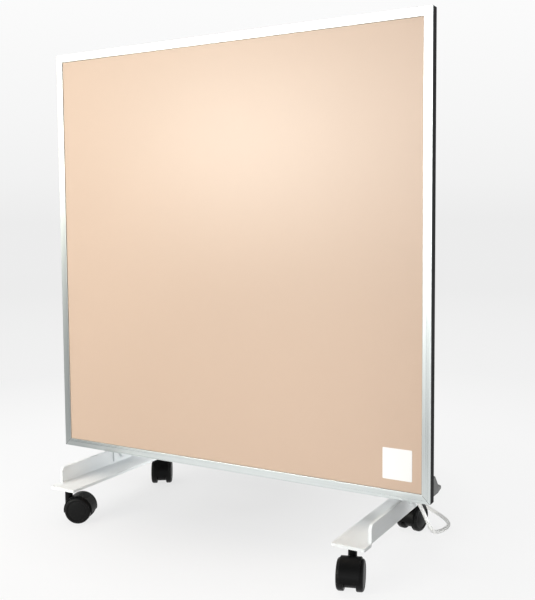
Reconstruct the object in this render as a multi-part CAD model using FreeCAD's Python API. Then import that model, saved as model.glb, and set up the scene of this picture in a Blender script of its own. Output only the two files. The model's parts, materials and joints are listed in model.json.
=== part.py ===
import FreeCAD
import Part
import math
import os

V = FreeCAD.Vector
X_AXIS, Y_AXIS, Z_AXIS = V(1, 0, 0), V(0, 1, 0), V(0, 0, 1)

# Frame: X to the right, Y towards the back, Z up, floor at Z 0, millimetres.

# Panel
PANEL_W = 600.0
PANEL_H = 600.0
PANEL_FRONT_Y = -28.0
PANEL_BOTTOM_Z = 87.0
BEZEL_FACE = 11.0
BEZEL_T = 1.2
BEZEL_LEG_T = 1.5
BEZEL_LEG_D = 9.0
BEZEL_EDGE_R = 0.4
TRAY_WALL = 1.2
TRAY_BACK_T = 1.0
TRAY_FIT = 0.3
TRAY_EDGE_R = 1.08
PLATE_T = 8.0
PLATE_OVERLAP = 1.4
PLATE_EDGE = 0.6
MAT_T = 4.0
KEY_SCREW_PAST_CASING = 4.0
KEY_END = 10.0

# Heating cable
CABLE_D = 2.0
CABLE_FIT = 0.3
RUN_COUNT = 14
RUN_PITCH = 40.0
RUN_FROM_LEFT = 50.0
RUN_FROM_RIGHT = 75.0
LEAD_RISE = 10.0
LEAD_BEND_R = 5.0
LEAD_TAIL = 7.0
LEAD_SHARE = 0.405

# Rear casing
CASING_SIDE = 50.0
CASING_BOTTOM = 20.0
CASING_TOP = 20.0
CASING_DEPTH = 26.0
CASING_T = 1.0
CASING_LIP = 9.0
CASING_CORNER_R = 8.0
VENT_COUNT = 12
VENT_L = 28.0
VENT_W = 10.0
CUTOUT_R = 8.0
CUTOUT_H = 6.0
CUTOUT_FLANGE = 2.0
CUTOUT_FLANGE_T = 1.2
BLADE_T = 0.8
BLADE_W = 6.3
BLADE_END = 12.0

# Terminal box
BOX_FROM_CASING = 2.0
BOX_FROM_EDGE = 18.0
BOX_WALL = 2.0
BOX_BELOW_PANEL = 4.0
BOX_HEIGHT = 42.0
BOX_TOP_D = 8.0
BOX_DEPTH = 27.5
BOX_FLAT = 6.0
BOX_CHAMFER = 11.0
BOX_LUG = 7.0
NOSE_FROM_EDGE = 3.0
NOSE_ABOVE_BOX = 7.0
NOSE_HEIGHT = 25.0
NOSE_TOP_D = 14.0
NOSE_STEP_D = 25.0
NOSE_STEP_H = 12.0
NOSE_DEPTH = 36.5
NOSE_FLAT = 4.0
NOSE_CHAMFER_D = 12.0
NOSE_CHAMFER_H = 3.0
NOSE_EDGE_R = 1.5
GLAND_FROM_BOX_SIDE = 12.0
BLOCK_W = 18.0
BLOCK_H = 10.0
BLOCK_D = 9.0

# Feet
FOOT_LENGTH = 248.0
FOOT_CENTRE_Y = 13.0
FOOT_WIDTH = 44.0
FOOT_T = 4.0
FOOT_UNDER_Z = 47.5
FOOT_HEIGHT = 26.5
FOOT_BEND_R = 2.0
WEB_SETBACK = 20.0
WEB_CORNER_R = 7.0
PLATE_CORNER_R = 2.0

# Uprights
UPRIGHT_T = 2.5
UPRIGHT_LEAF = 50.0
UPRIGHT_FLANGE = 40.0
UPRIGHT_TOP_Z = 262.0
UPRIGHT_FLANGE_Z = 112.0
UPRIGHT_CLEAR = 3.5
UPRIGHT_BEND_R = 2.5
UPRIGHT_BOLT_SHARES = (0.2, 0.8)
WEB_BOLT_SHARES = (0.5, 0.82)

# Fasteners
M6_R = 3.0
M6_HEAD_R = 5.25
M6_HEAD_H = 3.3
M6_LENGTH = 12.0
M6_NUT_AF = 10.0
M6_NUT_H = 5.0
M4_R = 2.0
M4_HEAD_R = 3.8
M4_HEAD_H = 2.2
M4_LENGTH = 8.0
TAPPER_R = 1.5
TAPPER_HEAD_R = 3.0
TAPPER_HEAD_H = 1.8
SOCKET_SHARE = 0.55
HOLE_FIT = 0.15

# Castors
STEM_FROM_END = 14.0
TRAIL = 17.0
WHEEL_R = 19.0
WHEEL_IN = 7.4
WHEEL_OUT = 16.4
WHEEL_EDGE_R = 1.2
WHEEL_SHOULDER_R = 3.5
WHEEL_RIM = 3.5
WHEEL_FACE_R = 14.6
WHEEL_GROOVE = 0.7
WHEEL_DOME = 0.6
WHEEL_CAP_R = 2.5
WHEEL_WEB_Y = 10.0
HUB_R = 5.0
HUB_GAP = 0.5
AXLE_R = 2.0
AXLE_HALF = 12.5
FIT = 0.05
CUT_PAST = 1.0
FENDER_GAP = 0.7
FENDER_T = 1.3
FENDER_HALF = 12.6
FENDER_DROP_DEG = 10.0
BODY_HALF = 6.6
BODY_R = 15.0
BOSS_R = 5.5
BOSS_BOTTOM_Z = 14.0
STEM_R = 3.5
STEM_DEPTH = 26.0
STEM_COLLAR_R = 5.2
STEM_COLLAR_T = 1.2
STEM_SPIGOT_R = 4.0
STEM_SPIGOT_L = 2.5
SWIVEL_GAP = 0.2
HEADINGS = {"front_left": 24.0, "front_right": -72.0, "rear_left": -57.0, "rear_right": -98.0}

# Cord, coil and plug
CORD_D = 5.2
GLAND_BASE_R = 5.5
GLAND_BASE_T = 3.0
GLAND_NECK_R = 4.0
GLAND_SLEEVE_R = 4.5
GLAND_END_R = 3.7
GLAND_REACH = 20.0
COIL_X = 150.0
COIL_Y = 255.0
COIL_OUT_R = 37.5
COIL_PITCH = 5.7
COIL_TURNS_A_LAYER = 2.75
CLIMB_TURN = 0.5
COIL_LOW_Z = 3.9
FLOOR_FIT = 0.4
ARC_SHARE = 0.45
TIE_W = 8.0
TIE_T = 0.8
TIE_FIT = 0.4
PLUG_W = 34.0
PLUG_T = 13.7
PLUG_BODY_L = 24.0
PLUG_RELIEF_L = 16.0
PLUG_RELIEF_R = 4.2
PIN_R = 2.0
PIN_L = 19.0
PIN_PITCH = 19.0
# Along the grip: share of its length, of its width and of its thickness
PLUG_OUTLINE = [(0, 0.37, 0.75), (0.33, 0.72, 1), (0.67, 0.92, 1), (1, 1, 1)]

# Worked-out places
LEFT_X = -PANEL_W / 2
RIGHT_X = PANEL_W / 2
CASING_W = PANEL_W - 2 * CASING_SIDE
TOP_Z = PANEL_BOTTOM_Z + PANEL_H
MID_Z = PANEL_BOTTOM_Z + PANEL_H / 2
PLATE_Y = PANEL_FRONT_Y + BEZEL_T
MAT_Y = PLATE_Y + PLATE_T
TRAY_Y = MAT_Y + MAT_T
PANEL_BACK_Y = TRAY_Y + TRAY_BACK_T
CASING_BACK_Y = PANEL_BACK_Y + CASING_DEPTH
PLATE_INSET = BEZEL_FACE - PLATE_OVERLAP
KEY_OUT = TRAY_WALL + TRAY_FIT + BEZEL_LEG_T
KEY_IN = PLATE_INSET - TRAY_FIT
KEY_SCREW_FROM_CORNER = CASING_SIDE + KEY_SCREW_PAST_CASING
KEY_LEG = KEY_SCREW_FROM_CORNER + KEY_END
RUN_LEFT_X = LEFT_X + RUN_FROM_LEFT
RUN_RIGHT_X = RIGHT_X - RUN_FROM_RIGHT
FOOT_OUTER_X = CASING_W / 2
FOOT_TOP_Z = FOOT_UNDER_Z + FOOT_HEIGHT
FOOT_PLATE_Z = FOOT_UNDER_Z + FOOT_T
FOOT_FRONT_Y = FOOT_CENTRE_Y - FOOT_LENGTH / 2
FOOT_BACK_Y = FOOT_CENTRE_Y + FOOT_LENGTH / 2
WEB_IN_X = FOOT_OUTER_X - FOOT_T
STEM_X = FOOT_OUTER_X - FOOT_WIDTH / 2
BOX_X0 = CASING_W / 2 + BOX_FROM_CASING
BOX_X1 = RIGHT_X - BOX_FROM_EDGE
BOX_Z0 = PANEL_BOTTOM_Z - BOX_BELOW_PANEL
CORD_R = CORD_D / 2
COIL_HIGH_Z = COIL_LOW_Z + COIL_PITCH
COIL_IN_R = COIL_OUT_R - COIL_PITCH * COIL_TURNS_A_LAYER
COIL_FRONT_Y = COIL_Y - COIL_OUT_R
STEM_FRONT_Y = FOOT_FRONT_Y + STEM_FROM_END
STEM_BACK_Y = FOOT_BACK_Y - STEM_FROM_END
FLOOR_Z = CORD_R + FLOOR_FIT
PLUG_Z = PLUG_T / 2
GLAND_OUT = V(0, math.sqrt(0.5), -math.sqrt(0.5))
GLAND_SEAT = V(BOX_X0 + GLAND_FROM_BOX_SIDE, PANEL_BACK_Y + BOX_DEPTH - BOX_CHAMFER / 2,
               BOX_Z0 + BOX_CHAMFER / 2)
CORD_START = GLAND_SEAT + GLAND_OUT * GLAND_REACH
REAR_STEM = V(STEM_X, STEM_BACK_Y, FLOOR_Z)

# Cord centre lines: down from the gland, round the rear castor's swing, to the coil and the plug
CORD_ROUTE = [CORD_START, CORD_START + V(-0.4, 25.4, -25), CORD_START + V(-1.8, 51.2, -52),
              V(CORD_START.x - 2.2, CORD_START.y + 72.7, FLOOR_Z), REAR_STEM + V(43.8, 4, 0),
              REAR_STEM + V(37, 26, 0), REAR_STEM + V(18, 46, 0), REAR_STEM + V(-11, 70, 0.2),
              V(COIL_X + 36, COIL_FRONT_Y, COIL_LOW_Z), V(COIL_X + CORD_D, COIL_FRONT_Y, COIL_LOW_Z)]
TAIL_ROUTE = [V(COIL_X - CORD_D, COIL_FRONT_Y, COIL_HIGH_Z), V(COIL_X - 22, COIL_FRONT_Y, COIL_HIGH_Z - 2),
              V(COIL_X - 42, COIL_FRONT_Y + 5, PLUG_Z - 0.6), V(COIL_X - 62, COIL_FRONT_Y + 11, PLUG_Z),
              V(COIL_X - 82, COIL_FRONT_Y + 11, PLUG_Z)]
PLUG_FRAME = TAIL_ROUTE[-1]
PLUG_RELIEF_X = PLUG_FRAME.x - PLUG_RELIEF_L
PLUG_FACE_X = PLUG_RELIEF_X - PLUG_BODY_L


def block(x0, x1, y0, y1, z0, z1):
    return Part.makeBox(x1 - x0, y1 - y0, z1 - z0, V(x0, y0, z0))


def rod(radius, start, direction, length):
    return Part.makeCylinder(radius, length, start, direction)


def prism(points, direction):
    return Part.Face(Part.makePolygon(points + points[:1])).extrude(direction)


def fused(first, *others):
    return first.fuse(list(others)).removeSplitter()


def mirrored(shape):
    return shape.mirror(V(0, 0, 0), X_AXIS)


def save(name, shape):
    solids = shape.Solids
    if not shape.isValid() or not solids:
        raise ValueError(name + " is not a valid solid")
    shape = solids[0] if len(solids) == 1 else Part.makeCompound(solids)
    shape.exportStep("parts/" + name + ".step")


# Fasteners

def screw(seat, direction, radius, length, head_r, head_h):
    """A domed screw: direction points into the work from the seat under the head."""
    head = rod(head_r, seat, direction * -1, head_h)
    far_edge = [e for e in head.Edges if abs((e.CenterOfMass - seat).Length - head_h) < 1e-6]
    head = head.makeFillet(head_h * SOCKET_SHARE, far_edge)
    socket = rod(radius * SOCKET_SHARE, seat - direction * head_h, direction, head_h * SOCKET_SHARE)
    return fused(head.cut(socket), rod(radius, seat, direction, length))


def m6_bolt(seat, direction):
    return screw(seat, direction, M6_R, M6_LENGTH, M6_HEAD_R, M6_HEAD_H)


def m6_nut(seat, direction):
    """A hexagon nut that stands on its seat and grows along direction."""
    across = X_AXIS if abs(direction.x) < 0.5 else Y_AXIS
    other = direction.cross(across)
    corner_r = M6_NUT_AF / math.sqrt(3)
    corners = []
    for k in range(6):
        a = math.radians(60 * k)
        corners.append(seat + across * (corner_r * math.cos(a)) + other * (corner_r * math.sin(a)))
    nut = prism(corners, direction * M6_NUT_H)
    return nut.cut(rod(M6_R + FIT, seat, direction, M6_NUT_H))


# Panel: bezel, plate, heating cable, mat and tray

def bezel_rail(length):
    """A mitred angle rail along X, its outer edge at Z 0, its face at Y 0, growing to +Z."""
    inset = TRAY_WALL + TRAY_FIT
    face = block(-length / 2, length / 2, 0, BEZEL_T, 0, BEZEL_FACE)
    inner_front = [e for e in face.Edges if e.CenterOfMass.y < 1e-6 and abs(e.CenterOfMass.x) < 1e-6]
    face = face.makeFillet(BEZEL_EDGE_R, inner_front)
    leg_end = BEZEL_T + BEZEL_LEG_D
    leg = block(-length / 2, length / 2, BEZEL_T, leg_end, inset, inset + BEZEL_LEG_T)
    rail = fused(face, leg)
    for side in (-1, 1):
        corner = V(side * length / 2, -CUT_PAST, 0)
        past = BEZEL_FACE + CUT_PAST
        waste = prism([corner, corner + V(0, 0, past), corner + V(-side * past, 0, past)],
                      V(0, leg_end + 2 * CUT_PAST, 0))
        rail = rail.cut(waste)
    return rail


def placed_rail(length, turn_deg, reach):
    rail = bezel_rail(length)
    rail.translate(V(0, PANEL_FRONT_Y, -reach))
    rail.rotate(V(0, 0, 0), Y_AXIS, turn_deg)
    rail.translate(V(0, 0, MID_Z))
    return rail


def panel_corners():
    """Each corner with the directions along X and Z that lead into the panel."""
    return [(V(sx * PANEL_W / 2, 0, MID_Z + sz * PANEL_H / 2), -sx, -sz)
            for sx in (-1, 1) for sz in (-1, 1)]


def key_screw_places():
    mid = (KEY_OUT + KEY_IN) / 2
    places = []
    for corner, ix, iz in panel_corners():
        places.append(corner + V(ix * KEY_SCREW_FROM_CORNER, TRAY_Y, iz * mid))
        places.append(corner + V(ix * mid, TRAY_Y, iz * KEY_SCREW_FROM_CORNER))
    return places


def corner_keys():
    """Angle blocks that hold the rails square and take the screws of the tray."""
    keys = []
    for corner, ix, iz in panel_corners():
        outline = [(KEY_OUT, KEY_OUT), (KEY_LEG, KEY_OUT), (KEY_LEG, KEY_IN), (KEY_IN, KEY_IN),
                   (KEY_IN, KEY_LEG), (KEY_OUT, KEY_LEG)]
        points = [corner + V(ix * a, PLATE_Y, iz * b) for a, b in outline]
        keys.append(prism(points, V(0, TRAY_Y - PLATE_Y, 0)))
    holes = [rod(M4_R + FIT, p, Y_AXIS * -1, M4_LENGTH) for p in key_screw_places()]
    return Part.makeCompound([k.cut(holes) for k in keys])


def front_plate():
    plate = block(LEFT_X + PLATE_INSET, RIGHT_X - PLATE_INSET, PLATE_Y, MAT_Y,
                  PANEL_BOTTOM_Z + PLATE_INSET, TOP_Z - PLATE_INSET)
    rim = [e for e in plate.Edges if abs(e.CenterOfMass.y - PLATE_Y) < 1e-6]
    return plate.makeChamfer(PLATE_EDGE, rim)


def cable_route():
    """Centre line of the heating cable in X and Z: runs, turns, and two leads to the box."""
    turn = RUN_PITCH / 2
    low_z = BOX_Z0 + BOX_HEIGHT
    lead_z = BOX_Z0 + BOX_HEIGHT * LEAD_SHARE + LEAD_BEND_R
    lead_a = RUN_RIGHT_X + 2 * turn
    lead_b = lead_a + LEAD_RISE
    near = lead_a - LEAD_RISE
    steps = [("to", lead_a, lead_z), ("to", lead_a, low_z - LEAD_RISE)]
    steps.append(("arc", lead_a - LEAD_RISE * (1 - math.sqrt(0.5)), low_z - LEAD_RISE * (1 - math.sqrt(0.5)),
                  near, low_z))
    for k in range(RUN_COUNT):
        z = low_z + k * RUN_PITCH
        last = k == RUN_COUNT - 1
        if k % 2 == 0:
            steps.append(("to", RUN_LEFT_X, z))
            steps.append(("arc", RUN_LEFT_X - turn, z + turn, RUN_LEFT_X, z + RUN_PITCH))
        elif not last:
            steps.append(("to", RUN_RIGHT_X - LEAD_RISE, z))
            steps.append(("arc", RUN_RIGHT_X - LEAD_RISE + turn, z + turn,
                          RUN_RIGHT_X - LEAD_RISE, z + RUN_PITCH))
        else:
            over = lead_b - turn
            steps.append(("to", over, z))
            steps.append(("arc", over + turn * math.sqrt(0.5), z - turn * (1 - math.sqrt(0.5)),
                          lead_b, z - turn))
            steps.append(("to", lead_b, lead_z))
    return steps


def lead_places():
    steps = cable_route()
    return [V(steps[0][1], 0, steps[0][2] - LEAD_BEND_R), V(steps[-1][1], 0, steps[-1][2] - LEAD_BEND_R)]


def cable_path():
    """The route at its depth, with both leads turned back through the tray."""
    y = MAT_Y + CABLE_D / 2
    steps = cable_route()
    flat = LEAD_BEND_R * (1 - math.sqrt(0.5))
    back_y = PANEL_BACK_Y + LEAD_TAIL
    edges = []

    def lead(x, z):
        inner = V(x, y + LEAD_BEND_R, z - LEAD_BEND_R)
        bend = Part.Arc(V(x, y, z), V(x, y + flat, z - LEAD_BEND_R + flat), inner).toShape()
        return Part.LineSegment(inner, V(x, back_y, inner.z)).toShape(), bend

    straight, bend = lead(steps[0][1], steps[0][2])
    edges += [straight, bend]
    here = V(steps[0][1], y, steps[0][2])
    for step in steps[1:]:
        end = V(step[-2], y, step[-1])
        if step[0] == "to":
            edges.append(Part.LineSegment(here, end).toShape())
        else:
            edges.append(Part.Arc(here, V(step[1], y, step[2]), end).toShape())
        here = end
    straight, bend = lead(here.x, here.z)
    return Part.Wire(Part.__sortEdges__(edges + [bend, straight]))


def tube(wire, radius):
    """A round tube along a wire of lines and arcs."""
    start = wire.OrderedVertexes[0].Point
    first = wire.OrderedEdges[0]
    at_start = first.valueAt(first.FirstParameter)
    along = first.tangentAt(first.FirstParameter)
    if (at_start - start).Length > 1e-6:
        along = first.tangentAt(first.LastParameter)
    ring = Part.Wire(Part.Circle(start, along, radius).toShape())
    shell = Part.BRepOffsetAPI.MakePipeShell(wire)
    shell.add(ring)
    shell.build()
    shell.makeSolid()
    return shell.shape()


def insulation_mat():
    """A board behind the plate, grooved for the cable and open for its leads."""
    mat = block(LEFT_X + PLATE_INSET, RIGHT_X - PLATE_INSET, MAT_Y, TRAY_Y,
                PANEL_BOTTOM_Z + PLATE_INSET, TOP_Z - PLATE_INSET)
    half = CABLE_D / 2 + CABLE_FIT
    y1 = MAT_Y + CABLE_D + CABLE_FIT
    cuts = []
    here = None
    for step in cable_route():
        end = (step[-2], step[-1])
        if here and step[0] == "to":
            cuts.append(block(min(here[0], end[0]) - half * (here[0] == end[0]),
                              max(here[0], end[0]) + half * (here[0] == end[0]), MAT_Y, y1,
                              min(here[1], end[1]) - half * (here[1] == end[1]),
                              max(here[1], end[1]) + half * (here[1] == end[1])))
        elif here:
            through = V(step[1], MAT_Y, step[2])
            bend = Part.Arc(V(here[0], MAT_Y, here[1]), through, V(end[0], MAT_Y, end[1])).toShape().Curve
            wide = Part.makeCylinder(bend.Radius + half, y1 - MAT_Y, bend.Center, Y_AXIS)
            narrow = Part.makeCylinder(bend.Radius - half, y1 - MAT_Y, bend.Center, Y_AXIS)
            reach = bend.Radius + half
            x0 = bend.Center.x + (0 if step[1] > bend.Center.x else -reach)
            upright = here[1] != end[1] and here[0] != end[0]
            z0 = bend.Center.z + (0 if upright else -reach)
            sector = block(x0, x0 + reach, MAT_Y, y1, z0, bend.Center.z + reach)
            cuts.append(wide.cut(narrow).common(sector))
        here = end
    for p in lead_places():
        well_z = p.z - LEAD_BEND_R
        cuts.append(block(p.x - half, p.x + half, MAT_Y, TRAY_Y, well_z, p.z + LEAD_BEND_R))
    return mat.cut(cuts)


def casing_screw_places():
    """Lip screws down both sides of the casing."""
    x = CASING_W / 2 + CASING_LIP / 2
    z0 = PANEL_BOTTOM_Z + CASING_BOTTOM
    z1 = TOP_Z - CASING_TOP
    clear_of_box = BOX_Z0 + BOX_HEIGHT + BOX_LUG + TAPPER_HEAD_R
    low = max(z0 + CASING_LIP, clear_of_box)
    rows = [low + k * (z1 - CASING_LIP - low) / 3 for k in range(4)]
    return [V(side * x, PANEL_BACK_Y, z) for side in (-1, 1) for z in rows]


def box_screw_places():
    x = (BOX_X0 + BOX_X1) / 2
    top = BOX_Z0 + BOX_HEIGHT + BOX_LUG / 2
    return [V(x + side * (BOX_X1 - BOX_X0) / 3, PANEL_BACK_Y, top) for side in (-1, 1)]


def rear_tray():
    """A dark pan whose walls show at the panel's sides, closed at the back."""
    outer = block(LEFT_X, RIGHT_X, PLATE_Y, PANEL_BACK_Y, PANEL_BOTTOM_Z, TOP_Z)
    back_rim = [e for e in outer.Edges if abs(e.CenterOfMass.y - PANEL_BACK_Y) < 1e-6]
    outer = outer.makeFillet(TRAY_EDGE_R, back_rim)
    inner = block(LEFT_X + TRAY_WALL, RIGHT_X - TRAY_WALL, PLATE_Y, TRAY_Y,
                  PANEL_BOTTOM_Z + TRAY_WALL, TOP_Z - TRAY_WALL)
    holes = [rod(M4_R + HOLE_FIT, p, Y_AXIS, TRAY_BACK_T) for p in key_screw_places()]
    for p in casing_screw_places() + box_screw_places():
        holes.append(rod(TAPPER_R + FIT, p, Y_AXIS * -1, TRAY_BACK_T))
    for p in lead_places():
        holes.append(rod(CABLE_D, V(p.x, TRAY_Y, p.z), Y_AXIS, TRAY_BACK_T))
    return outer.cut(inner).cut(holes)


# Rear casing and terminal box

def upright_bolt_places():
    """Bolts through the casing's back on the right-hand side."""
    x = WEB_IN_X - UPRIGHT_FLANGE / 2
    span = UPRIGHT_TOP_Z - UPRIGHT_FLANGE_Z
    return [V(x, CASING_BACK_Y, UPRIGHT_FLANGE_Z + span * share) for share in UPRIGHT_BOLT_SHARES]


def web_bolt_places():
    """Bolts through the web of the right-hand foot."""
    z = (FOOT_PLATE_Z + UPRIGHT_CLEAR + FOOT_TOP_Z) / 2
    y0 = CASING_BACK_Y
    return [V(FOOT_OUTER_X, y0 + UPRIGHT_LEAF * share, z) for share in WEB_BOLT_SHARES]


def both_sides(places):
    return places + [V(-p.x, p.y, p.z) for p in places]


def rear_casing():
    """A folded cover with open slots top and bottom, so that air rises behind the plate."""
    z0 = PANEL_BOTTOM_Z + CASING_BOTTOM
    z1 = TOP_Z - CASING_TOP
    half = CASING_W / 2
    outer = block(-half, half, PANEL_BACK_Y, CASING_BACK_Y, z0, z1)
    back_rim = [e for e in outer.Edges if e.CenterOfMass.y > PANEL_BACK_Y + 1e-6]
    outer = outer.makeFillet(CASING_CORNER_R, back_rim)
    inner = block(-half + CASING_T, half - CASING_T, PANEL_BACK_Y, CASING_BACK_Y - CASING_T,
                  z0 + CASING_T, z1 - CASING_T)
    inner_rim = [e for e in inner.Edges if e.CenterOfMass.y > PANEL_BACK_Y + 1e-6]
    inner = inner.makeFillet(CASING_CORNER_R - CASING_T, inner_rim)
    lips = []
    for side in (-1, 1):
        x0, x1 = sorted((side * (half - CASING_T), side * (half + CASING_LIP)))
        lip_z0 = z0 if side < 0 else BOX_Z0 + BOX_HEIGHT + BOX_LUG + CASING_T
        lips.append(block(x0, x1, PANEL_BACK_Y, PANEL_BACK_Y + CASING_T, lip_z0, z1))
    casing = fused(outer.cut(inner), *lips)
    cuts = []
    pitch = (CASING_W - 2 * CASING_CORNER_R) / VENT_COUNT
    mid_y = (PANEL_BACK_Y + CASING_BACK_Y) / 2
    for k in range(VENT_COUNT):
        x = (k - (VENT_COUNT - 1) / 2) * pitch
        slot = fused(block(x - VENT_L / 2 + VENT_W / 2, x + VENT_L / 2 - VENT_W / 2, mid_y - VENT_W / 2,
                           mid_y + VENT_W / 2, z0, z1),
                     rod(VENT_W / 2, V(x - VENT_L / 2 + VENT_W / 2, mid_y, z0), Z_AXIS, z1 - z0),
                     rod(VENT_W / 2, V(x + VENT_L / 2 - VENT_W / 2, mid_y, z0), Z_AXIS, z1 - z0))
        cuts.append(slot)
    for p in both_sides(upright_bolt_places()):
        cuts.append(rod(M6_R + HOLE_FIT, p, Y_AXIS * -1, CASING_T))
    for p in casing_screw_places():
        cuts.append(rod(TAPPER_R + HOLE_FIT, p, Y_AXIS, CASING_T))
    return casing.cut(cuts)


def thermal_cutout():
    """A disc limiter on the tray's back: cap, body and two blades."""
    at = V(CASING_W / 4, PANEL_BACK_Y, MID_Z)
    flange = rod(CUTOUT_R + CUTOUT_FLANGE, at, Y_AXIS, CUTOUT_FLANGE_T)
    body = rod(CUTOUT_R, at, Y_AXIS, CUTOUT_H)
    middles = [at.x - CUTOUT_R / 2, at.x + CUTOUT_R / 2]
    blades = [block(x - BLADE_T / 2, x + BLADE_T / 2, at.y + CUTOUT_H / 2, at.y + BLADE_END,
                    at.z - BLADE_W / 2, at.z + BLADE_W / 2) for x in middles]
    return fused(flange, body, *blades)


def box_profile(inset, floor_z):
    """Side outline of the terminal box: sloped back, flat, and a slanted lower face for the cord."""
    slope_z = BOX_Z0 + BOX_CHAMFER + BOX_FLAT
    top_z = BOX_Z0 + BOX_HEIGHT - inset
    lower = inset * (math.sqrt(2) - 1)
    floor_y = BOX_DEPTH - BOX_CHAMFER - lower + floor_z - BOX_Z0 - inset
    outline = [(0, floor_z), (floor_y, floor_z), (BOX_DEPTH - inset, BOX_Z0 + BOX_CHAMFER + lower),
               (BOX_DEPTH - inset, slope_z), (BOX_TOP_D - inset, top_z), (0, top_z)]
    return [V(BOX_X0 + inset, PANEL_BACK_Y + y, z) for y, z in outline]


def terminal_box():
    """A closed hood on the tray's back; its floor is solid where it hangs below the tray."""
    outer = prism(box_profile(0, BOX_Z0), V(BOX_X1 - BOX_X0, 0, 0))
    inner = prism(box_profile(BOX_WALL, PANEL_BOTTOM_Z + TRAY_WALL), V(BOX_X1 - BOX_X0 - 2 * BOX_WALL, 0, 0))
    top = BOX_Z0 + BOX_HEIGHT
    lug = block(BOX_X0, BOX_X1, PANEL_BACK_Y, PANEL_BACK_Y + BOX_WALL, top - BOX_WALL, top + BOX_LUG)
    cuts = [rod(GLAND_NECK_R + FIT, GLAND_SEAT - GLAND_OUT * BOX_WALL, GLAND_OUT, BOX_WALL)]
    for p in box_screw_places():
        cuts.append(rod(TAPPER_R + HOLE_FIT, p, Y_AXIS, BOX_WALL))
    return fused(outer.cut(inner), lug, box_nose()).cut(cuts)


def box_nose():
    """A wedge on the box's outer side that shows past the panel's edge."""
    z0 = BOX_Z0 + NOSE_ABOVE_BOX
    z1 = z0 + NOSE_HEIGHT
    flat_z = z0 + NOSE_CHAMFER_H
    outline = [(0, z0), (NOSE_DEPTH - NOSE_CHAMFER_D, z0), (NOSE_DEPTH, flat_z),
               (NOSE_DEPTH, flat_z + NOSE_FLAT), (NOSE_STEP_D, z0 + NOSE_STEP_H), (NOSE_TOP_D, z1), (0, z1)]
    x0 = BOX_X1 - BOX_WALL
    x1 = RIGHT_X - NOSE_FROM_EDGE
    nose = prism([V(x0, PANEL_BACK_Y + d, z) for d, z in outline], V(x1 - x0, 0, 0))
    side_rim = [e for e in nose.Edges if abs(e.CenterOfMass.x - x1) < 1e-6
                and e.CenterOfMass.y > PANEL_BACK_Y + NOSE_EDGE_R]
    return nose.makeFillet(NOSE_EDGE_R, side_rim)


def terminal_block():
    """A two-pole screw terminal that the cable's leads end in."""
    leads = lead_places()
    x = (leads[0].x + leads[1].x) / 2
    y = PANEL_BACK_Y + LEAD_TAIL
    z = leads[0].z
    body = block(x - BLOCK_W / 2, x + BLOCK_W / 2, y, y + BLOCK_D, z - BLOCK_H / 2, z + BLOCK_H / 2)
    wells = [rod(M4_R, V(p.x, y + BLOCK_D, z), Y_AXIS * -1, BLOCK_D / 3) for p in leads]
    return body.cut(wells)


# Feet and uprights

def right_foot():
    """A sheet foot: flat plate below, web folded up along its outer side."""
    y0 = FOOT_FRONT_Y + WEB_SETBACK
    y1 = FOOT_BACK_Y - WEB_SETBACK
    x_in = FOOT_OUTER_X - FOOT_WIDTH
    r_out = FOOT_BEND_R + FOOT_T
    bend = V(FOOT_OUTER_X - r_out, y0, FOOT_UNDER_Z + r_out)
    dip = math.sqrt(0.5)

    def at(x, z):
        return V(x, y0, z)

    outline = [Part.LineSegment(at(x_in, FOOT_UNDER_Z), at(bend.x, FOOT_UNDER_Z)),
               Part.Arc(at(bend.x, FOOT_UNDER_Z), at(bend.x + r_out * dip, bend.z - r_out * dip),
                        at(FOOT_OUTER_X, bend.z)),
               Part.LineSegment(at(FOOT_OUTER_X, bend.z), at(FOOT_OUTER_X, FOOT_TOP_Z)),
               Part.LineSegment(at(FOOT_OUTER_X, FOOT_TOP_Z), at(WEB_IN_X, FOOT_TOP_Z)),
               Part.LineSegment(at(WEB_IN_X, FOOT_TOP_Z), at(WEB_IN_X, bend.z)),
               Part.Arc(at(WEB_IN_X, bend.z), at(bend.x + FOOT_BEND_R * dip, bend.z - FOOT_BEND_R * dip),
                        at(bend.x, FOOT_PLATE_Z)),
               Part.LineSegment(at(bend.x, FOOT_PLATE_Z), at(x_in, FOOT_PLATE_Z)),
               Part.LineSegment(at(x_in, FOOT_PLATE_Z), at(x_in, FOOT_UNDER_Z))]
    section = Part.Face(Part.Wire([c.toShape() for c in outline]))
    middle = section.extrude(V(0, y1 - y0, 0))
    top_ends = [e for e in middle.Edges
                if abs(e.CenterOfMass.z - FOOT_TOP_Z) < 1e-6 and abs(e.CenterOfMass.x - FOOT_OUTER_X) > 1e-6
                and abs(e.CenterOfMass.x - WEB_IN_X) > 1e-6]
    middle = middle.makeFillet(WEB_CORNER_R, top_ends)
    tabs = []
    for a, b, end in ((FOOT_FRONT_Y, y0, FOOT_FRONT_Y), (y1, FOOT_BACK_Y, FOOT_BACK_Y)):
        tab = block(x_in, FOOT_OUTER_X, a, b, FOOT_UNDER_Z, FOOT_PLATE_Z)
        corners = [e for e in tab.Edges if abs(e.CenterOfMass.y - end) < 1e-6
                   and abs(e.CenterOfMass.z - FOOT_UNDER_Z - FOOT_T / 2) < 1e-6]
        tabs.append(tab.makeFillet(PLATE_CORNER_R, corners))
    cuts = [rod(STEM_SPIGOT_R + FIT, V(STEM_X, y, FOOT_UNDER_Z), Z_AXIS, STEM_SPIGOT_L + FIT)
            for y in stem_ys()]
    cuts += [rod(M6_R + HOLE_FIT, p, X_AXIS * -1, FOOT_T) for p in web_bolt_places()]
    return fused(middle, *tabs).cut(cuts)


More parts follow.
